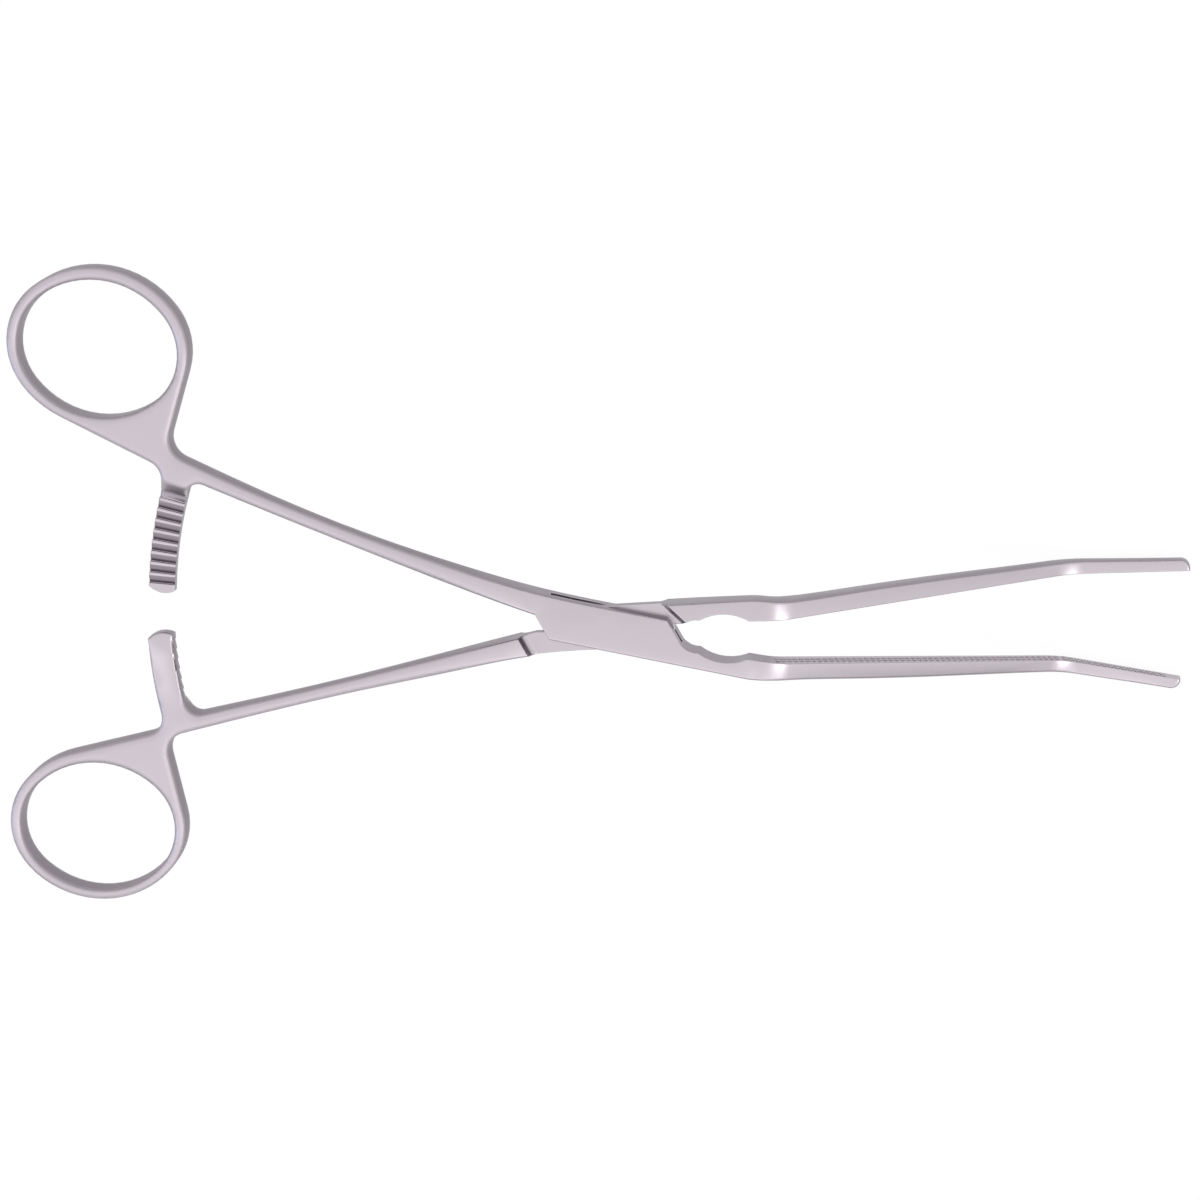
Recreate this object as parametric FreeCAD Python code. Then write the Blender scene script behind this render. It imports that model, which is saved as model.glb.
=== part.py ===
# Subclavian artery clamp: a ring-handled box-lock forceps with long bayonet jaws.
#
# Two stainless forgings turn on one pin. The box half carries a slotted box, the tongue half a thin
# tongue that passes through that slot. Both are modelled closed, along +X, with their own finger
# ring on +Y and the back of the box at z = 0. Then the tongue half is mirrored, each half is turned
# out by half the resting opening, and everything moves down by the depth of the box.
#
# Frame: origin on the pin axis in the front face of the box, +X towards the jaws, +Z out of that
# face. The jaws step away from the front face, towards -Z. Units are millimetres and degrees.
import FreeCAD, Part
import math
import os
from FreeCAD import Vector

# Handle
RING_X = 97.4              # pin to the middle of a ring, along the clamp
BOX_RING_Y = 35.8          # clamp axis to the middle of the box half's ring, clamp closed
TONGUE_RING_Y = 35.1       # the same of the tongue half
RING_HOLE_LENGTH = 29.2
RING_HOLE_WIDTH = 24.8
RING_BAND = 2.0            # width of the metal round the hole
BOX_HOLE_SHIFT = -0.25     # the hole sits this far out from the ring's middle, so the band isn't even
TONGUE_HOLE_SHIFT = 0.25
RING_DEPTH = 4.6
SHANK_ROOT_WIDTH = 4.1
SHANK_WAIST_WIDTH = 2.45
SHANK_NECK_WIDTH = 2.6
SHANK_DEPTH = 3.5          # at the waist
BOX_SHANK_BOW = 1.0        # the shank bows inwards by this much at mid length
TONGUE_SHANK_BOW = 0.0
SHANK_GAP = 0.45           # closed shanks stay this far from the axis beside the box
NECK_BLEND = 4.0           # hollow between ring and shank
WEB_BLEND = 3.5            # hollow between ring and ratchet bar
BOX_WEB_ANGLE = 252        # where the web leaves the ring, degrees round from the jaws
TONGUE_WEB_ANGLE = 258
BAR_BLEND = 2.5            # hollow between shank and ratchet bar
ROUNDING = 0.5             # handle edges, and the outer edges of the box and jaws

# Ratchet
RATCHET_SETBACK = 15.4     # the middle of the bar is this much nearer to the pin than the ring's middle
RATCHET_WIDTH = 4.8
RATCHET_REACH = 12.8276    # axis to where the bar leaves the handle
BOX_BAR_OVERHANG = 7.227   # axis to the bar's end, on the other side, along its arc
TONGUE_BAR_OVERHANG = 1.145
TOOTH_PITCH = 1.975        # along the bar's arc
TOOTH_DEPTH = 0.6
BOX_BAR_TEETH = 9
TONGUE_BAR_TEETH = 6
CREST_CLEARANCE = 0.12     # the tooth crests of the two bars pass each other by this much

# Box lock
BOX_DEPTH = 5.0
BOX_HALF_WIDTH = 3.65      # at the outer corner of a plate
BOX_TAPER = 0.25           # the box is this much wider beside the pin
PLATE_DEPTH = 1.7
SLOT_CLEARANCE = 0.06      # between the tongue and each plate
PLATE_END = 10.05          # pin to the outer corner of a plate, along the clamp
PLATE_HEEL = 13.2          # pin to the inner corner of a plate
SLOT_END = 12.0            # pin to the slot's end walls
SLOT_END_TILT = 27.0       # those walls lean by this much
TONGUE_CLEARANCE = 0.3     # tongue to the slot's end walls
SHOULDER_RUN = 1.0         # the tongue's front shoulder slopes over this length
SCOOP_RADIUS = 2.0         # hollow rear shoulder of the tongue
SCOOP_X = 13.7             # a point on that shoulder's foot, back from the pin and out from the axis
SCOOP_Y = 2.1
SCOOP_TILT = 26.5          # the shoulder leans by this much, its outer end nearer to the pin
PIN_DIAMETER = 3.2
PIN_CLEARANCE = 0.05

# Jaws
JAW_BEND_X = 30.5          # first bend, where the jaws turn down
JAW_SLOPE = 31.0
JAW_RUN = 51.0             # length of the sloping part, along the clamp
JAW_TIP = 21.5             # length of the level tip
JAW_BEND_RADIUS = 10.0
JAW_ROOT_WIDTH = 3.75
JAW_MID_WIDTH = 3.1
JAW_BEND_WIDTH = 2.35      # at the second bend
JAW_TIP_WIDTH = 2.05
JAW_ROOT_DEPTH = 4.3
JAW_BEND_DEPTH = 2.9
JAW_TIP_DEPTH = 2.5
JAW_TIP_GAP = 0.18         # closed, each face stays this far from the axis at the tip
JAW_HEEL_GAP = 0.95        # and this far at the heel, so the tips meet first
RELIEF_START = 16.4        # the round relief behind the jaw faces runs between two cusps
RELIEF_END = 25.2
RELIEF_DEPTH = 1.2
RELIEF_STEP = 0.25         # the inner cusp lies this much lower than the jaw face
JAW_TOOTH_PITCH = 1.2
JAW_TOOTH_HEIGHT = 0.2
JAW_TOOTH_WIDTH = 0.4
JAW_ROW_SPACING = 1.1      # the box half has two rows, the tongue half one between them

# Pose
REST_OPENING = 11.3        # between the closed clamp and the clamp as it lies, degrees

# Worked out
RATCHET_RADIUS = RING_X - RATCHET_SETBACK
RATCHET_ROOT = math.degrees(math.asin(RATCHET_REACH / RATCHET_RADIUS))
BOX_BAR_END = -math.degrees(BOX_BAR_OVERHANG / RATCHET_RADIUS)
TONGUE_BAR_END = -math.degrees(TONGUE_BAR_OVERHANG / RATCHET_RADIUS)
TOOTH_TURN = math.degrees(TOOTH_PITCH / RATCHET_RADIUS)
MID_Z = BOX_DEPTH / 2
RING_A = RING_HOLE_LENGTH / 2 + RING_BAND
RING_B = RING_HOLE_WIDTH / 2 + RING_BAND
BOX_LEFT = PLATE_HEEL + 0.9
TIP_X = JAW_BEND_X + JAW_RUN + JAW_TIP
BAR_IN = RATCHET_RADIUS - RATCHET_WIDTH / 2
BAR_OUT = RATCHET_RADIUS + RATCHET_WIDTH / 2
SECOND_BEND_X = JAW_BEND_X + JAW_RUN
LEAN = math.tan(math.radians(JAW_SLOPE) / 2)
TIP_Z = BOX_DEPTH - JAW_RUN * math.tan(math.radians(JAW_SLOPE))
REACH = 3 * BOX_LEFT           # longer than anything that is cut
UP = Vector(0, 0, 1)
ORIGIN = Vector(0, 0, 0)


def line(p, q):
    return Part.LineSegment(p, q).toShape()


def curve(points, ends=None):
    """Smooth curve through a few points, with the two end directions when they are given."""
    spline = Part.BSplineCurve()
    if ends:
        spline.interpolate(Points=points, InitialTangent=ends[0], FinalTangent=ends[1])
    else:
        spline.interpolate(points)
    return spline


def arc(p, q, r):
    return Part.Arc(p, q, r).toShape()


def polar(radius, degrees):
    """Point at an angle past the clamp axis, on the handle side of the pin."""
    a = math.radians(degrees)
    return Vector(-radius * math.cos(a), radius * math.sin(a), 0)


def prism(edges, z0, z1):
    """Solid over a closed outline of edges, from z0 to z1."""
    wire = Part.Wire(Part.__sortEdges__(edges))
    solid = Part.Face(wire).extrude(Vector(0, 0, z1 - z0))
    solid.translate(Vector(0, 0, z0))
    return solid


def polygon(points):
    return [line(p, q) for p, q in zip(points, points[1:] + points[:1])]


def crossing(p, u, q, v):
    """Where the line through p along u meets the line through q along v."""
    d = u.x * v.y - u.y * v.x
    return p + u * (((q.x - p.x) * v.y - (q.y - p.y) * v.x) / d)


def blend(corner, u_in, u_out, radius):
    """Start, middle and end of the arc that rounds a corner between two directions."""
    half_turn = math.acos(u_in.dot(u_out)) / 2
    back = radius * math.tan(half_turn)
    inward = (u_out - u_in).normalize()
    centre = corner + inward * (radius / math.cos(half_turn))
    return corner - u_in * back, centre - inward * radius, corner + u_out * back


def oval_arc(centre, a, b, start, end):
    """Arc of an oval of four tangent arcs, by the directions of its normal; the arcs meet at 45 degrees."""
    shift = (a - b) / (math.sqrt(2) - 1) * math.sin(math.radians(45))
    middle = math.radians((start + end) / 2)
    if abs(math.cos(middle)) > abs(math.sin(middle)):
        hub = centre + Vector(math.copysign(shift, math.cos(middle)), 0, 0)
        radius = a - shift
    else:
        hub = centre - Vector(0, math.copysign(shift, math.sin(middle)), 0)
        radius = b + shift
    circle = Part.Circle(hub, UP, radius)
    return Part.Arc(circle, math.radians(start), math.radians(end)).toShape()


def ring_point(centre, angle):
    """Point on the ring's outer edge where the outward normal has this direction, in degrees."""
    return oval_arc(centre, RING_A, RING_B, angle - 0.1, angle).Vertexes[-1].Point


def ring_tangent(angle):
    a = math.radians(angle)
    return Vector(-math.sin(a), math.cos(a), 0)


def shank_point(t, side, bow_depth):
    """Point on the outer (+1) or inner (-1) edge of the shank, t from 0 at the box to 1 at the neck."""
    root = Vector(-BOX_LEFT, SHANK_GAP + SHANK_ROOT_WIDTH / 2, 0)
    neck = polar(BAR_IN, RATCHET_ROOT) + Vector(1.9, 3.2, 0)
    run = (neck - root).normalize()
    across = Vector(-run.y, run.x, 0)
    if across.y < 0:
        across = across * -1
    bow = Vector(0, -bow_depth * 4 * t * (1 - t), 0)
    straight = SHANK_ROOT_WIDTH + (SHANK_NECK_WIDTH - SHANK_ROOT_WIDTH) * t
    waist = (SHANK_ROOT_WIDTH + SHANK_NECK_WIDTH) / 2 - SHANK_WAIST_WIDTH
    width = straight - waist * 4 * t * (1 - t)
    return root + (neck - root) * t + bow + across * (side * width / 2)


def handle_outline(centre, bow, meet, bar_end, corner):
    """Ring, neck, shank and ratchet bar in plan, from the box's outer corner round to its heel."""
    steps = [0.0, 0.25, 0.5, 0.75, 0.94]
    beside_pin = Vector(-PIN_DIAMETER / 2, BOX_HALF_WIDTH + BOX_TAPER, 0)
    outer = curve([corner, beside_pin] + [shank_point(t, 1, bow) for t in steps + [1.0]])
    inner = curve([Vector(-PLATE_HEEL, SHANK_GAP, 0)] + [shank_point(t, -1, bow) for t in steps[1:]])
    neck_run = outer.tangent(outer.LastParameter)[0]
    inner_run = inner.tangent(inner.LastParameter)[0]
    neck = shank_point(1.0, 1, bow)
    throat = shank_point(steps[-1], -1, bow)

    leave = -9
    bar_run = polar(1.0, RATCHET_ROOT + 90) * -1
    p_neck = ring_point(centre, leave)
    u_neck = ring_tangent(leave) * -1
    p_web = ring_point(centre, meet)
    u_web = ring_tangent(meet)

    n1, n2, n3 = blend(crossing(p_neck, u_neck, neck, neck_run), u_neck, neck_run * -1, NECK_BLEND)
    bar_in = polar(BAR_IN, RATCHET_ROOT)
    bar_out = polar(BAR_OUT, RATCHET_ROOT)
    b1, b2, b3 = blend(crossing(throat, inner_run, bar_in, bar_run), inner_run, bar_run, BAR_BLEND)
    w1, w2, w3 = blend(crossing(p_web, u_web, bar_out, bar_run), u_web, bar_run, WEB_BLEND)
    end_in = polar(BAR_IN, bar_end)
    end_out = polar(BAR_OUT, bar_end + 0.5)
    end_mid = polar(RATCHET_RADIUS, bar_end - 0.3)
    low = (RATCHET_ROOT + bar_end) / 2
    turns = [leave, 45, 135, 225, meet]
    ring = [oval_arc(centre, RING_A, RING_B, t, u) for t, u in zip(turns, turns[1:])]
    return ring + [
        line(p_neck, n1),
        arc(n1, n2, n3),
        line(n3, neck),
        outer.toShape(),
        inner.toShape(),
        line(throat, b1),
        arc(b1, b2, b3),
        arc(b3, polar(BAR_IN, low), end_in),
        arc(end_in, end_mid, end_out),
        arc(end_out, polar(BAR_OUT, low), w3),
        arc(w1, w2, w3),
        line(p_web, w1),
    ]


def turned(x, y, angle):
    a = math.radians(angle)
    return Vector(x * math.cos(a) - y * math.sin(a), x * math.sin(a) + y * math.cos(a), 0)


def mating_y(x):
    """The jaw face in plan: it comes nearer to the axis up to the second bend, then runs level with it."""
    t = min((x - JAW_BEND_X) / JAW_RUN, 1)
    return -JAW_HEEL_GAP + (JAW_HEEL_GAP - JAW_TIP_GAP) * t


def jaw_face_edges(start):
    """From the box over the round relief and along the jaw face to the tip."""
    cusp_a = Vector(RELIEF_START, mating_y(RELIEF_START) - RELIEF_STEP, 0)
    cusp_b = Vector(RELIEF_END, mating_y(RELIEF_END), 0)
    lens = (cusp_a + cusp_b) * 0.5 - Vector(0, RELIEF_DEPTH, 0)
    hollow = (start + cusp_a) * 0.5 - Vector(0.4, 0.3, 0)
    bend = Vector(SECOND_BEND_X, mating_y(SECOND_BEND_X), 0)
    tip = Vector(TIP_X, mating_y(TIP_X), 0)
    return [arc(start, hollow, cusp_a), arc(cusp_a, lens, cusp_b), line(cusp_b, bend), line(bend, tip)]


def jaw_back_edges(start):
    """From the tip's rounded corner back along the outer side of the jaw to the box."""
    stations = [
        (TIP_X - JAW_TIP_WIDTH * 0.8, JAW_TIP_WIDTH),
        (SECOND_BEND_X + JAW_TIP * 0.4, (JAW_BEND_WIDTH + JAW_TIP_WIDTH) / 2),
        (SECOND_BEND_X, JAW_BEND_WIDTH),
        (JAW_BEND_X + JAW_RUN * 0.55, (JAW_BEND_WIDTH + JAW_MID_WIDTH) / 2 + 0.2),
        (JAW_BEND_X + JAW_RUN * 0.22, JAW_MID_WIDTH),
        (JAW_BEND_X - 1, JAW_ROOT_WIDTH - 0.3),
        (RELIEF_END, JAW_ROOT_WIDTH),
    ]
    ends = (Vector(-1, 0, 0), (start - Vector(RELIEF_END, mating_y(RELIEF_END) - JAW_ROOT_WIDTH, 0)).normalize())
    back = curve([Vector(x, mating_y(x) - w, 0) for x, w in stations], ends)
    first = back.value(back.FirstParameter)
    last = back.value(back.LastParameter)
    tip = Vector(TIP_X, mating_y(TIP_X), 0)
    nose = arc(tip, tip - Vector(JAW_TIP_WIDTH * 0.16, JAW_TIP_WIDTH * 0.692, 0), first)
    return [nose, back.toShape(), line(last, start)]


def side_corner(x, depth, top):
    """Corner of the side view at a bend, at a depth below its upper surface."""
    return Vector(x - depth * LEAN, 0, top - depth)


def side_view():
    """Side view of a half: thin at the shank's waist, level over the box, then two bends in the jaw."""
    end = TIP_X + 1
    stations = [
        (-BAR_IN + 2, RING_DEPTH),
        (-RING_X * 0.68, (RING_DEPTH + SHANK_DEPTH) / 2),
        (-RING_X * 0.5, SHANK_DEPTH),
        (-RING_X * 0.33, (BOX_DEPTH + SHANK_DEPTH) / 2 - 0.2),
        (-BOX_LEFT - 6, BOX_DEPTH - 0.18),
        (-BOX_LEFT, BOX_DEPTH),
    ]
    level = (Vector(1, 0, 0), Vector(1, 0, 0))
    over = curve([Vector(x, 0, MID_Z + d / 2) for x, d in stations], level).toShape()
    under = curve([Vector(x, 0, MID_Z - d / 2) for x, d in stations], level).toShape()

    root = Vector(RELIEF_START, 0, 0)
    bend_1 = side_corner(JAW_BEND_X, 0, BOX_DEPTH)
    bend_2 = side_corner(SECOND_BEND_X, 0, TIP_Z)
    under_1 = side_corner(JAW_BEND_X, JAW_ROOT_DEPTH, BOX_DEPTH)
    under_2 = side_corner(SECOND_BEND_X, JAW_BEND_DEPTH, TIP_Z)
    box_top = Vector(-BOX_LEFT, 0, BOX_DEPTH)
    box_low = Vector(-BOX_LEFT, 0, 0)
    tip_top = Vector(end, 0, TIP_Z)
    tip_low = Vector(end, 0, TIP_Z - JAW_TIP_DEPTH)

    def bend(before, corner, after, radius):
        return blend(corner, (corner - before).normalize(), (after - corner).normalize(), radius)

    t1 = bend(box_top, bend_1, bend_2, JAW_BEND_RADIUS)
    t2 = bend(bend_1, bend_2, tip_top, JAW_BEND_RADIUS)
    u2 = bend(tip_low, under_2, under_1, JAW_BEND_RADIUS + JAW_BEND_DEPTH)
    u1 = bend(under_2, under_1, root, JAW_BEND_RADIUS - JAW_ROOT_DEPTH)
    flat_end = stations[0][0]
    far_left = -RING_X - RING_A - 2
    ring_top = MID_Z + RING_DEPTH / 2
    ring_low = MID_Z - RING_DEPTH / 2
    edges = [
        line(Vector(flat_end, 0, ring_low), Vector(far_left, 0, ring_low)),
        line(Vector(far_left, 0, ring_low), Vector(far_left, 0, ring_top)),
        line(Vector(far_left, 0, ring_top), Vector(flat_end, 0, ring_top)),
        over,
        line(box_top, t1[0]),
        arc(*t1),
        line(t1[2], t2[0]),
        arc(*t2),
        line(t2[2], tip_top),
        line(tip_top, tip_low),
        line(tip_low, u2[0]),
        arc(*u2),
        line(u2[2], u1[0]),
        arc(*u1),
        line(u1[2], root),
        line(root, box_low),
        under,
    ]
    face = Part.Face(Part.Wire(Part.__sortEdges__(edges)))
    width = max(BOX_RING_Y, TONGUE_RING_Y) + RING_B + REACH
    face.translate(Vector(0, -REACH, 0))
    return face.extrude(Vector(0, width + REACH, 0))


def runs_over(edge, plan_lines):
    """True for an edge of the solid that lies over one of the lines of the plan and isn't upright."""
    box = edge.BoundBox
    if box.XLength < 0.2 and box.YLength < 0.2:
        return False
    middle = edge.valueAt((edge.FirstParameter + edge.LastParameter) / 2)
    foot = Part.Vertex(middle.x, middle.y, 0)
    return any(foot.distToShape(plan_line)[0] < 0.01 for plan_line in plan_lines)


def half_blank(ring_y, hole_shift, bow, web_angle, bar_end, corner):
    """A whole half in one piece: its plan outline and its side view cut out of each other."""
    centre = Vector(-RING_X, ring_y, 0)
    hole_centre = Vector(-RING_X, ring_y + hole_shift, 0)
    heel = Vector(PLATE_HEEL, -SHANK_GAP, 0)
    sharp = [line(corner, heel), line(corner * -1, heel * -1)] + jaw_face_edges(heel)
    soft = handle_outline(centre, bow, web_angle, bar_end, corner) + jaw_back_edges(corner * -1)
    turns = [-45, 45, 135, 225, 315]
    hole = [
        oval_arc(hole_centre, RING_HOLE_LENGTH / 2, RING_HOLE_WIDTH / 2, t, u)
        for t, u in zip(turns, turns[1:])
    ]
    body = prism(sharp + soft, TIP_Z - REACH, REACH)
    body = body.cut(prism(hole, -REACH, REACH))
    body = body.common(side_view()).Solids[0]
    body = body.makeChamfer(ROUNDING, [e for e in body.Edges if runs_over(e, hole)])
    return body.makeFillet(ROUNDING, [e for e in body.Edges if runs_over(e, soft)])


def slot():
    """The slot through the box: six-sided in plan, with two leaning end walls."""
    normal = turned(-1, 0, -SLOT_END_TILT)
    along = Vector(normal.y, -normal.x, 0)
    foot = normal * SLOT_END
    top = foot + along * ((REACH - foot.y) / along.y)
    knee = foot + along * (-foot.y / along.y)
    points = [top, knee, Vector(knee.x, -REACH, 0)]
    outline = polygon(points + [p * -1 for p in points])
    return prism(outline, PLATE_DEPTH, BOX_DEPTH - PLATE_DEPTH)


def pin_hole(clearance):
    radius = PIN_DIAMETER / 2 + clearance
    return Part.makeCylinder(radius, BOX_DEPTH + 2, Vector(0, 0, -1))


def across_bar(profile, place):
    """Cutter over the ratchet bar: a profile of (distance past the place, height) run along the radius."""
    middle = polar(RATCHET_RADIUS, place)
    radial = polar(1, place)
    along = polar(1, place + 90)
    inner = middle - radial * RATCHET_WIDTH
    points = [inner + along * s + UP * z for s, z in profile]
    return Part.Face(Part.Wire(polygon(points))).extrude(radial * 2 * RATCHET_WIDTH)


def ratchet_cutters(bar_end, teeth, side):
    """What thins the bar to its own side of the middle plane (+1 keeps the upper side) and cuts its teeth."""
    crest = MID_Z + side * CREST_CLEARANCE / 2
    valley = crest + side * TOOTH_DEPTH
    clear = MID_Z - side * RING_DEPTH
    surface = MID_Z - side * RING_DEPTH / 2
    ramp = abs(surface - crest)
    step = [(0.6, clear), (0.6, surface), (0.6 - ramp, crest), (-REACH, crest), (-REACH, clear)]
    cutters = [across_bar(step, RATCHET_ROOT)]
    for i in range(teeth):
        place = bar_end + TOOTH_TURN * (i + 0.6)
        run = TOOTH_PITCH * 0.8
        groove = [(0, crest - side), (0, valley), (run, crest), (run, crest - side)]
        cutters.append(across_bar(groove, place))
    return cutters


def tooth_row(offset):
    """One row of fine teeth standing on the jaw face, over the slope and the level tip."""
    path = [
        side_corner(JAW_BEND_X, JAW_ROOT_DEPTH / 2, BOX_DEPTH),
        side_corner(SECOND_BEND_X, JAW_BEND_DEPTH / 2, TIP_Z),
        Vector(TIP_X - JAW_TIP_WIDTH, 0, TIP_Z - JAW_TIP_DEPTH / 2),
    ]
    path = [p + Vector(offset * LEAN, 0, offset) for p in path]
    path = [Vector(p.x, mating_y(p.x), p.z) for p in path]
    rows = []
    for p, q in zip(path, path[1:]):
        run = (q - p).normalize()
        normal = Vector(p.y - q.y, q.x - p.x, 0).normalize()
        across = run.cross(normal)
        count = int((q - p).Length / JAW_TOOTH_PITCH)
        profile = [(0, -0.2)]
        for i in range(count):
            s = i * JAW_TOOTH_PITCH
            profile += [(s, 0), (s + JAW_TOOTH_PITCH * 0.4, JAW_TOOTH_HEIGHT)]
        profile += [(count * JAW_TOOTH_PITCH, 0), (count * JAW_TOOTH_PITCH, -0.2)]
        base = p - across * (JAW_TOOTH_WIDTH / 2)
        points = [base + run * s + normal * h for s, h in profile]
        rows.append(Part.Face(Part.Wire(polygon(points))).extrude(across * JAW_TOOTH_WIDTH))
    return rows


def box_half():
    """Ring, shank and ratchet, the slotted box, and the jaw with two rows of teeth."""
    corner = Vector(PLATE_END, BOX_HALF_WIDTH, 0)
    handle = (BOX_RING_Y, BOX_HOLE_SHIFT, BOX_SHANK_BOW, BOX_WEB_ANGLE, BOX_BAR_END)
    body = half_blank(*handle, corner)
    body = body.cut([slot(), pin_hole(0)] + ratchet_cutters(BOX_BAR_END, BOX_BAR_TEETH, -1))
    return body.fuse(tooth_row(JAW_ROW_SPACING / 2) + tooth_row(-JAW_ROW_SPACING / 2))


def shoulder_cutter(place, direction, profile):
    """Cutter that thins the tongue beside a shoulder line: a profile of (distance inwards, height)."""
    run = direction.normalize()
    inward = Vector(run.y, -run.x, 0)
    start = place - run * REACH
    face = Part.Face(Part.Wire(polygon([start + inward * s + UP * z for s, z in profile])))
    return face.extrude(run * 2 * REACH)


def tongue_half():
    """Ring, shank and ratchet, the thin tongue between two shoulders, and the jaw with one row of teeth."""
    radius = SLOT_END - TONGUE_CLEARANCE
    corner = Vector(PLATE_HEEL, BOX_HALF_WIDTH, 0)
    handle = (TONGUE_RING_Y, TONGUE_HOLE_SHIFT, TONGUE_SHANK_BOW, TONGUE_WEB_ANGLE, TONGUE_BAR_END)
    body = half_blank(*handle, corner)
    disc = Part.makeCylinder(radius, 2 * REACH, Vector(0, 0, -REACH))
    far_side = Part.makeBox(PLATE_HEEL + 5, REACH, 2 * REACH, Vector(0, -SHANK_GAP, -REACH)).cut(disc)
    near_side = far_side.copy()
    near_side.rotate(ORIGIN, UP, 180)
    half = (BOX_DEPTH - 2 * PLATE_DEPTH) / 2 - SLOT_CLEARANCE
    cutters = [far_side, near_side, pin_hole(PIN_CLEARANCE)]
    front_line = Vector(PLATE_END + 0.3, -BOX_HALF_WIDTH + 0.25, 0)
    front_run = Vector(1, 1.04, 0)
    rear_line = Vector(-SCOOP_X, SCOOP_Y, 0)
    rear_run = turned(0, -1, -SCOOP_TILT)
    for side in (1, -1):
        level = MID_Z + side * half
        outside = MID_Z + side * REACH / 2
        surface = MID_Z + side * BOX_DEPTH / 2
        slope = [(0, level), (-SHOULDER_RUN, surface), (-SHOULDER_RUN, outside), (REACH / 2, outside), (REACH / 2, level)]
        slope = [(-s, z) for s, z in slope]
        cutters.append(shoulder_cutter(front_line, front_run, slope))
        flat = [(0, level), (0, outside), (REACH / 2, outside), (REACH / 2, level)]
        flat = [(-s, z) for s, z in flat]
        cutters.append(shoulder_cutter(rear_line, rear_run, flat))
        run = Vector(rear_run.x, rear_run.y, 0).normalize()
        axis_z = level + side * SCOOP_RADIUS
        scoop = Part.makeCylinder(SCOOP_RADIUS, 2 * REACH, rear_line - run * REACH + UP * axis_z, run)
        cutters.append(scoop)
    body = body.cut(cutters + ratchet_cutters(TONGUE_BAR_END, TONGUE_BAR_TEETH, 1))
    return body.fuse(tooth_row(0)).mirror(ORIGIN, Vector(0, 1, 0))


def lock_pin():
    """The pivot pin, ground flush with both plates."""
    return Part.makeCylinder(PIN_DIAMETER / 2, BOX_DEPTH)


def main():
    os.makedirs("parts", exist_ok=True)
    box = box_half()
    tongue = tongue_half()
    pin = lock_pin()
    for shape, turn in ((box, -1), (pin, -1), (tongue, 1)):
        shape.rotate(ORIGIN, UP, turn * REST_OPENING / 2)
        shape.translate(UP * -BOX_DEPTH)
    for name, shape in (("box_half", box), ("tongue_half", tongue), ("lock_pin", pin)):
        print(name, shape.isValid(), len(shape.Solids), round(shape.Volume, 1))
        shape.exportStep("parts/" + name + ".step")


main()
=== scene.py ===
# %% [markdown]
# # A subclavian artery clamp in satin steel
#
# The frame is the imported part: two forged halves that turn on one pin. The origin lies on the pin in
# the front face of the box, +X runs to the jaws and +Z comes out of that face. Everything in this
# lesson is in metres, in that frame.

import bpy
import math
import numpy as np
from mathutils import Matrix, Vector


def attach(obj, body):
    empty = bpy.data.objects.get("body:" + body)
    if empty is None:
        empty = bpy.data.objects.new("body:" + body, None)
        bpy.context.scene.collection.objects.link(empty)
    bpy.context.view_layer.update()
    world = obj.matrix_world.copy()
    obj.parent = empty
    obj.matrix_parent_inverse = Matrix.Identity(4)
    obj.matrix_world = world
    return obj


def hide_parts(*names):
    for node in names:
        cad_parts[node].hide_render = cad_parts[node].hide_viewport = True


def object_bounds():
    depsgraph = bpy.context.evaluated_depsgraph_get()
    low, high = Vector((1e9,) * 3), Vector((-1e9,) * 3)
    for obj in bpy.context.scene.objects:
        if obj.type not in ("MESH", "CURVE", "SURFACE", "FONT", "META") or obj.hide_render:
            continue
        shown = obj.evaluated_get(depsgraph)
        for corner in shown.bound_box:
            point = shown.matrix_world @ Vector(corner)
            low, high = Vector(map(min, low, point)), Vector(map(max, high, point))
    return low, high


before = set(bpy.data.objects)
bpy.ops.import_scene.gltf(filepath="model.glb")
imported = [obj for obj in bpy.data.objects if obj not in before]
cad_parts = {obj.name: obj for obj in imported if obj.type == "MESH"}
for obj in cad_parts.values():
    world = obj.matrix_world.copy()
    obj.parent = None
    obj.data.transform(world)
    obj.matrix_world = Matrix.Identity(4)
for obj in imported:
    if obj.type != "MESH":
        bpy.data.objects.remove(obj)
cad_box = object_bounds()

MM = 0.001

# %% [markdown]
# ## Node helpers
#
# A material is a graph of small steps. These helpers each make one step and hand on its output, so
# that a material below reads like the sum that it works out at each point of the surface.

# %% Colour and node helpers

COLOUR_A, COLOUR_B, COLOUR_RESULT = 6, 7, 2  # sockets of a Mix node that mixes colours
WHITE = (1.0, 1.0, 1.0, 1.0)


def linear(hex_colour):
    """Turn an sRGB hex colour into the linear numbers that a shader expects.

    Each channel is a share of 255. Below 0.04045 it is divided by 12.92. Above that, 0.055 is added, the
    sum is divided by 1.055 and raised to the power 2.4.
    """
    srgb = [int(hex_colour[i : i + 2], 16) / 255 for i in (1, 3, 5)]
    return [c / 12.92 if c < 0.04045 else ((c + 0.055) / 1.055) ** 2.4 for c in srgb] + [1.0]


def empty_tree(owner):
    """Switch on the nodes of a material or world and clear them."""
    owner.use_nodes = True
    owner.node_tree.nodes.clear()
    return owner.node_tree


def add_node(tree, kind, settings=None, links=None):
    """Add one node: settings name its properties or sockets, links name sockets to feed from other nodes."""
    node = tree.nodes.new(kind)
    for key, value in (settings or {}).items():
        if isinstance(key, int) or key in node.inputs:
            node.inputs[key].default_value = value
        else:
            setattr(node, key, value)
    for key, source in (links or {}).items():
        tree.links.new(source, node.inputs[key])
    return node


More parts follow.
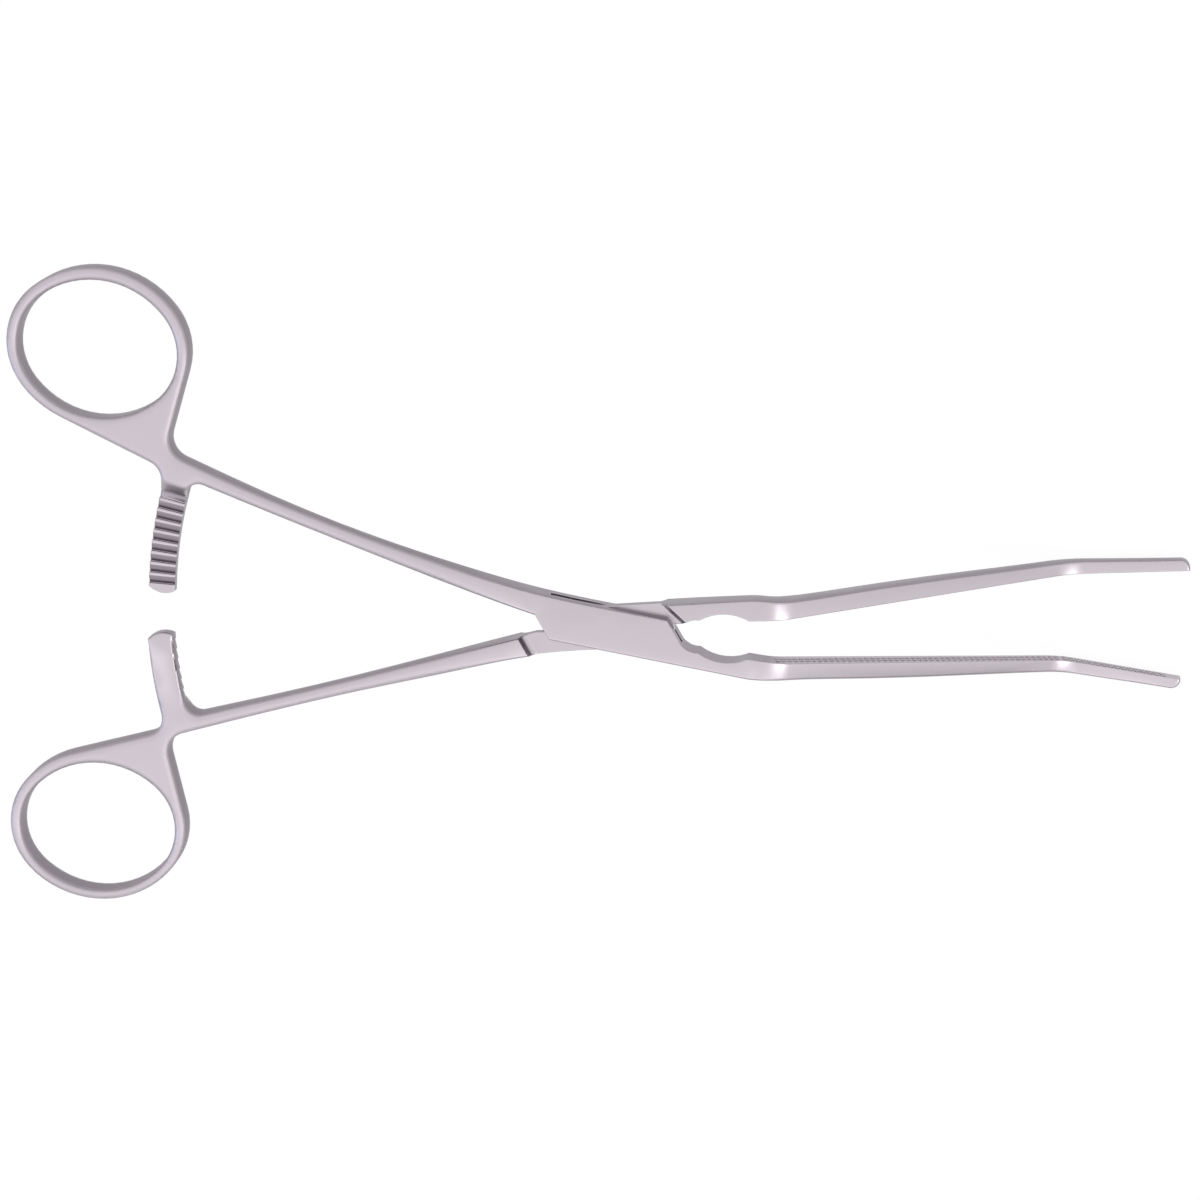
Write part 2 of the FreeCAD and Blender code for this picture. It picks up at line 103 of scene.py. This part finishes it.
def combine(tree, operation, *values):
    """Work out one Math operation on its values, in order: each is a number or another node's output."""
    node = add_node(tree, "ShaderNodeMath", {"operation": operation})
    for socket, value in zip(node.inputs, values):
        if isinstance(value, bpy.types.NodeSocket):
            tree.links.new(value, socket)
        else:
            socket.default_value = value
    return node.outputs[0]


def ramp(tree, value, start, end, low=0.0, high=1.0, curve="LINEAR"):
    """Map a value: low at start and before it, high at end and past it, and a line or a curve between."""
    limits = {"From Min": start, "From Max": end, "To Min": low, "To Max": high}
    node = add_node(tree, "ShaderNodeMapRange", {"interpolation_type": curve, **limits}, {"Value": value})
    return node.outputs[0]


def mix_colour(tree, share, first, second):
    """Blend two colours: the first times one minus the share, plus the second times the share."""
    node = add_node(tree, "ShaderNodeMix", {"data_type": "RGBA"}, {0: share})
    for place, colour in ((COLOUR_A, first), (COLOUR_B, second)):
        if isinstance(colour, bpy.types.NodeSocket):
            tree.links.new(colour, node.inputs[place])
        else:
            node.inputs[place].default_value = colour
    return node.outputs[COLOUR_RESULT]


print("helpers: linear, empty_tree, add_node, combine, ramp, mix_colour")

# %% [markdown]
# ## Finish
#
# The real clamp is forged stainless steel, glass-bead blasted to a satin that doesn't dazzle under a
# theatre lamp. Blasting leaves a fine even grain, so highlights are wide and soft, and the colour is a
# neutral grey with a breath of mauve. Hands and trays polish it a little where it is touched.

# %% Satin stainless steel

FACE, SHADED_SIDE, WORN = "#BBB3BA", "#898089", "#CBC5CA"  # face colour, painted shade on sides and ratchet teeth, polished edges

# Places on the part. Each pair runs from where an effect is absent to where it is full.
RING_Y = (17 * MM, 20 * MM)  # out from the middle line, past the ratchet bars
SHANK_START_X = (-74 * MM, -71 * MM)  # towards the pin, past the ratchet bars
HANDLE_X = (-14 * MM, -30 * MM)  # away from the box, where grinding rounded the edges
PIN_RADIUS = (2.5 * MM, 3.0 * MM)  # out from the flush pin, whose seam stays sharp
BAR_FRONT_Z = (-2.2 * MM, -1.0 * MM)  # up from the ratchet's teeth, which are painted in side shade
CREST_DEPTH = 2.5 * MM  # of the ratchet's crests behind the front of the box, painted as highlights in face colour
CREST_REACH = (0.11 * MM, 0.07 * MM)  # towards a crest, over which its painted highlight comes in
JAW_X = (28 * MM, 32 * MM)  # out from the jaws' first bend

# What the surface does there.
BEVEL_SAMPLES = 8
WEAR_COSINE = (0.99, 0.8)  # between the plain normal and the turned one
FACING = (0.15, 0.8)  # the normal's part along the pin, from the painted side shade to the face colour
INWARD = (0.0, -0.3)  # the normal's part away from the middle line, from level to facing the other jaw
BITE_BRIGHTNESS = 0.75  # how far the jaws' teeth are lifted out of the painted side shade, where 1 is the face colour
CLOUD_SIZE = 22 * MM  # patches that hands and trays leave
CLOUD_PATCH = (0.35, 0.65)  # of the cloud noise, from unpolished to polished
LEAST_PATCH = 0.35
CLOUD_ROUGH = (0.3, 0.7)  # of the cloud noise, from the smoothest to the roughest patch
ROUGHNESS, ROUGH_SPREAD = 0.29, 0.03
POLISH = 0.08  # taken off the roughness where the metal is worn
HANDLE_ROUGHNESS = 0.14  # added on rings and shanks
GRAIN_SIZE, GRAIN_DEPTH, GRAIN_STRENGTH = 0.35 * MM, 0.02 * MM, 0.15


def satin_steel(name, handle_edge, jaw_edge):
    """Bead-blasted stainless steel: the normals turn evenly over each edge, and that band is a little worn.

    The band is wide on rings and shanks, where the forging was rounded by grinding, and narrow on the
    ratchet and from the box to the tips. Wear grows with one minus the cosine between the plain and the
    turned normal, times a cloud. The colour carries painted shade: it falls from the face colour to a
    darker side colour as the normal turns away from the pin axis, and below the front of the ratchet
    bars, but the crests of the teeth keep the face colour as a painted highlight. The jaw faces that
    meet, where the sign of y times the normal's y is below zero, are spared most of that painted shade.
    Roughness is its base, plus or minus the cloud's spread, minus polish times wear, plus a share for
    the handle.
    """
    material = bpy.data.materials.new(name)
    tree = empty_tree(material)
    place = add_node(tree, "ShaderNodeTexCoord").outputs["Object"]
    x, y, z = add_node(tree, "ShaderNodeSeparateXYZ", None, {0: place}).outputs
    ring_side = ramp(tree, combine(tree, "ABSOLUTE", y), *RING_Y)
    off_bar = combine(tree, "MAXIMUM", ring_side, ramp(tree, x, *SHANK_START_X))
    handle = combine(tree, "MULTIPLY", off_bar, ramp(tree, x, *HANDLE_X))

    from_pin = add_node(tree, "ShaderNodeVectorMath", {"operation": "LENGTH"}, {0: place}).outputs["Value"]
    edge = ramp(tree, handle, 0.0, 1.0, jaw_edge, handle_edge)
    edge = combine(tree, "MULTIPLY", edge, ramp(tree, from_pin, *PIN_RADIUS))
    rounded = add_node(tree, "ShaderNodeBevel", {"samples": BEVEL_SAMPLES}, {"Radius": edge}).outputs[0]
    plain = add_node(tree, "ShaderNodeNewGeometry").outputs["Normal"]
    turned = add_node(tree, "ShaderNodeVectorMath", {"operation": "DOT_PRODUCT"}, {0: rounded, 1: plain})
    wear = ramp(tree, turned.outputs["Value"], *WEAR_COSINE)
    cloud_settings = {"Scale": 1 / CLOUD_SIZE, "Detail": 3.0}
    cloud = add_node(tree, "ShaderNodeTexNoise", cloud_settings, {"Vector": place}).outputs["Fac"]
    wear = combine(tree, "MULTIPLY", wear, ramp(tree, cloud, *CLOUD_PATCH, LEAST_PATCH))

    # Painted shade: the colour darkens towards the side colour as the turned normal leaves the pin axis.
    facing = add_node(tree, "ShaderNodeSeparateXYZ", None, {0: rounded}).outputs["Z"]
    facing = ramp(tree, combine(tree, "ABSOLUTE", facing), *FACING)
    # More painted shade on the ratchet's teeth below the front of the bars; their crests keep the face
    # colour as a painted highlight.
    proud = combine(tree, "MAXIMUM", ramp(tree, z, *BAR_FRONT_Z), off_bar)
    off_crest = combine(tree, "ABSOLUTE", combine(tree, "ADD", z, CREST_DEPTH))
    proud = combine(tree, "MAXIMUM", proud, ramp(tree, off_crest, *CREST_REACH))
    painted_shade_map = combine(tree, "MULTIPLY", facing, proud)
    # The jaw faces that meet are spared most of the painted shade.
    outward = add_node(tree, "ShaderNodeSeparateXYZ", None, {0: plain}).outputs["Y"]
    outward = combine(tree, "MULTIPLY", outward, combine(tree, "SIGN", y))
    bite = ramp(tree, outward, *INWARD, 0.0, BITE_BRIGHTNESS)
    bite = combine(tree, "MULTIPLY", bite, ramp(tree, x, *JAW_X))
    painted_shade_map = combine(tree, "MAXIMUM", painted_shade_map, bite)
    # The side colour is painted shade, mixed in by the mask above.
    tone = mix_colour(tree, painted_shade_map, linear(SHADED_SIDE), linear(FACE))
    tone = mix_colour(tree, wear, tone, linear(WORN))

    rough = ramp(tree, cloud, *CLOUD_ROUGH, ROUGHNESS - ROUGH_SPREAD, ROUGHNESS + ROUGH_SPREAD)
    rough = combine(tree, "SUBTRACT", rough, combine(tree, "MULTIPLY", wear, POLISH))
    rough = combine(tree, "MULTIPLY_ADD", handle, HANDLE_ROUGHNESS, rough)
    grain_settings = {"Scale": 1 / GRAIN_SIZE, "Detail": 2.0}
    grain = add_node(tree, "ShaderNodeTexNoise", grain_settings, {"Vector": place}).outputs["Fac"]
    bump_settings = {"Strength": GRAIN_STRENGTH, "Distance": GRAIN_DEPTH}
    bump = add_node(tree, "ShaderNodeBump", bump_settings, {"Height": grain, "Normal": rounded}).outputs[0]
    feeds = {"Base Color": tone, "Roughness": rough, "Normal": bump}
    metal = add_node(tree, "ShaderNodeBsdfPrincipled", {"Metallic": 1.0}, feeds)
    add_node(tree, "ShaderNodeOutputMaterial", None, {"Surface": metal.outputs[0]})
    return material


steel = satin_steel("bead_blasted_stainless_steel", handle_edge=1.9 * MM, jaw_edge=0.25 * MM)
pin_steel = satin_steel("ground_stainless_steel", handle_edge=0.0, jaw_edge=0.0)
print("materials:", steel.name, pin_steel.name)

# %% [markdown]
# ## The halves and the pin
#
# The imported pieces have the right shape, but each of their faces is shaded on its own. Joining the
# doubled points and shading smoothly, except across edges sharper than 32 degrees, lets one face run
# into the next as on a forging that has been ground and blasted.

# %% One skin for each piece

CREASE = math.radians(32)
SAME_POINT = 1e-7


def joined_copy(node, name):
    """Copy a node with its doubled points merged: smooth where faces meet below the crease angle.

    Points are one point when their coordinates, divided by the tolerance and rounded, are the same. A
    triangle that has lost a corner by that is left out.
    """
    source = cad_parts[node].data
    points = np.empty(3 * len(source.vertices))
    source.vertices.foreach_get("co", points)
    points = points.reshape(-1, 3)
    corners = np.empty(len(source.loops), dtype=np.int64)
    source.loops.foreach_get("vertex_index", corners)
    _, first, back = np.unique(np.round(points / SAME_POINT), axis=0, return_index=True, return_inverse=True)
    faces = back.ravel()[corners].reshape(-1, 3)
    whole = (faces != np.roll(faces, 1, axis=1)).all(axis=1)
    mesh = bpy.data.meshes.new(name)
    mesh.from_pydata(points[first], [], faces[whole])
    mesh.validate()
    mesh.shade_smooth()
    mesh.set_sharp_from_angle(angle=CREASE)
    piece = bpy.data.objects.new(name, mesh)
    bpy.context.scene.collection.objects.link(piece)
    print(name, "points", len(mesh.vertices), "faces", len(mesh.polygons))
    return piece


for node, name, body, slot, material in (
    ("box_half", "box_half_skin", "box_side", "satin_steel", steel),
    ("tongue_half", "tongue_half_skin", "tongue_side", "satin_steel", steel),
    ("lock_pin", "lock_pin_skin", "box_side", "pin_steel", pin_steel),
):
    piece = joined_copy(node, name)
    piece.data.materials.append(material)
    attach(piece, body)
    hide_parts(node)

# %% [markdown]
# ## Studio
#
# The photograph is a catalogue cut-out on white. The clamp lies on a pale sweep, under a sky that is
# dim at the horizon and an even pale ceiling above, so that a surface darkens as it turns to the side.
# A wide soft lamp hangs on the side of the lower ring. A smaller one beyond the jaws is mirrored in
# both bends as a bright flash, and a cool one behind the rings tints the edges that face it.

# %% Floor and world

FLOOR_REACH = 3.0
FLOOR_OWN_LIGHT = 0.93
HORIZON, CEILING = 0.08, 0.42  # heights of a direction: 0 is level, 1 is straight up
HORIZON_LIGHT, CEILING_LIGHT = 0.12, 1.15


def pale(name, colour, own_light):
    """Matt pale paint that the camera and reflections see brighter than the lamps alone would make it.

    For camera, glossy and transmission rays the surface is own_light times white light plus one minus
    own_light times the paint, which keeps a faint shadow. For all other rays it is plain paint.
    """
    material = bpy.data.materials.new(name)
    tree = empty_tree(material)
    path = add_node(tree, "ShaderNodeLightPath").outputs
    seen = combine(tree, "MAXIMUM", path["Is Camera Ray"], path["Is Glossy Ray"])
    seen = combine(tree, "MAXIMUM", seen, path["Is Transmission Ray"])
    share = combine(tree, "MULTIPLY", seen, own_light)
    paint = add_node(tree, "ShaderNodeBsdfDiffuse", {"Color": linear(colour)}).outputs[0]
    glow = add_node(tree, "ShaderNodeEmission", {"Color": WHITE, "Strength": 1.0}).outputs[0]
    mix = add_node(tree, "ShaderNodeMixShader", None, {0: share, 1: paint, 2: glow})
    add_node(tree, "ShaderNodeOutputMaterial", None, {"Surface": mix.outputs[0]})
    return material


low = float(cad_box[0][2])
floor_mesh = bpy.data.meshes.new("floor")
sides = ((-1, -1), (1, -1), (1, 1), (-1, 1))
floor_mesh.from_pydata([(i * FLOOR_REACH, j * FLOOR_REACH, low) for i, j in sides], [], [(0, 1, 2, 3)])
floor = bpy.data.objects.new("floor", floor_mesh)
bpy.context.scene.collection.objects.link(floor)
floor_mesh.materials.append(pale("pale_floor", "#FBFBFB", FLOOR_OWN_LIGHT))

world = bpy.data.worlds.new("studio")
bpy.context.scene.world = world
tree = empty_tree(world)
ray = add_node(tree, "ShaderNodeTexCoord").outputs["Generated"]
height = add_node(tree, "ShaderNodeSeparateXYZ", None, {0: ray}).outputs["Z"]
light = ramp(tree, height, HORIZON, CEILING, HORIZON_LIGHT, CEILING_LIGHT, "SMOOTHSTEP")
sky = add_node(tree, "ShaderNodeBackground", {"Color": WHITE}, {"Strength": light})
add_node(tree, "ShaderNodeOutputWorld", None, {"Surface": sky.outputs[0]})
bpy.context.scene.view_settings.view_transform = "Standard"
print("floor at", round(low / MM, 2), "mm")

# %% Lamps

LAMP_DISTANCE = 1.2


def softbox(name, direction, width, height, power, colour="#FFFFFF"):
    """Rectangular soft lamp that faces the box lock.

    Its place is the lamp distance times the direction, made one unit long.
    """
    lamp = bpy.data.lights.new(name, "AREA")
    lamp.shape = "RECTANGLE"
    lamp.size = width
    lamp.size_y = height
    lamp.energy = power
    lamp.color = linear(colour)[:3]
    rig = bpy.data.objects.new(name, lamp)
    away = Vector(direction).normalized()
    rig.location = away * LAMP_DISTANCE
    rig.rotation_euler = away.to_track_quat("Z", "Y").to_euler()
    bpy.context.scene.collection.objects.link(rig)


softbox("overhead_softbox", (-0.10, -0.62, 0.78), width=1.2, height=0.6, power=1.2)
softbox("bend_softbox", (0.573, -0.273, 0.773), width=0.3, height=0.5, power=1.7)
softbox("cool_softbox", (-0.86, -0.27, 0.43), width=0.4, height=0.5, power=1.2, colour="#C9D6FF")

# %% [markdown]
# ## Camera
#
# Matching points of the clamp to their places in the picture gives a long lens 0.6 m from the lock,
# raised 16 degrees towards the ring of the box half and rolled by 2 degrees. The picture was cropped
# off centre, so the lens is shifted by the same part of its width.

# %% Camera

PICTURE = 1200  # its width and height in pixels
FOCAL_LENGTH = 3369.8  # in pixels of the picture
LENS_CENTRE = (552.3, 626.6)  # pixel that the lens points at, from the upper left
SENSOR = 36.0
CAMERA_DISTANCE = 0.6
AIM = Vector((-10 * MM, 0, 0))

lens = bpy.data.cameras.new("camera")
lens.sensor_width = SENSOR
lens.lens = FOCAL_LENGTH / PICTURE * SENSOR
lens.shift_x = (PICTURE / 2 - LENS_CENTRE[0]) / PICTURE
lens.shift_y = (LENS_CENTRE[1] - PICTURE / 2) / PICTURE
lens.clip_start = 0.05
lens.clip_end = 20.0
right = Vector((0.9897, 0.0343, -0.1388))
up = Vector((-0.0705, 0.9615, -0.2656))
back = right.cross(up).normalized()
up = back.cross(right).normalized()
right = up.cross(back)
camera = bpy.data.objects.new("camera", lens)
turn = Matrix((right, up, back)).transposed().to_4x4()
camera.matrix_world = Matrix.Translation(AIM + back * CAMERA_DISTANCE) @ turn
bpy.context.scene.collection.objects.link(camera)
bpy.context.scene.camera = camera
print("camera at", [round(v, 3) for v in camera.location])
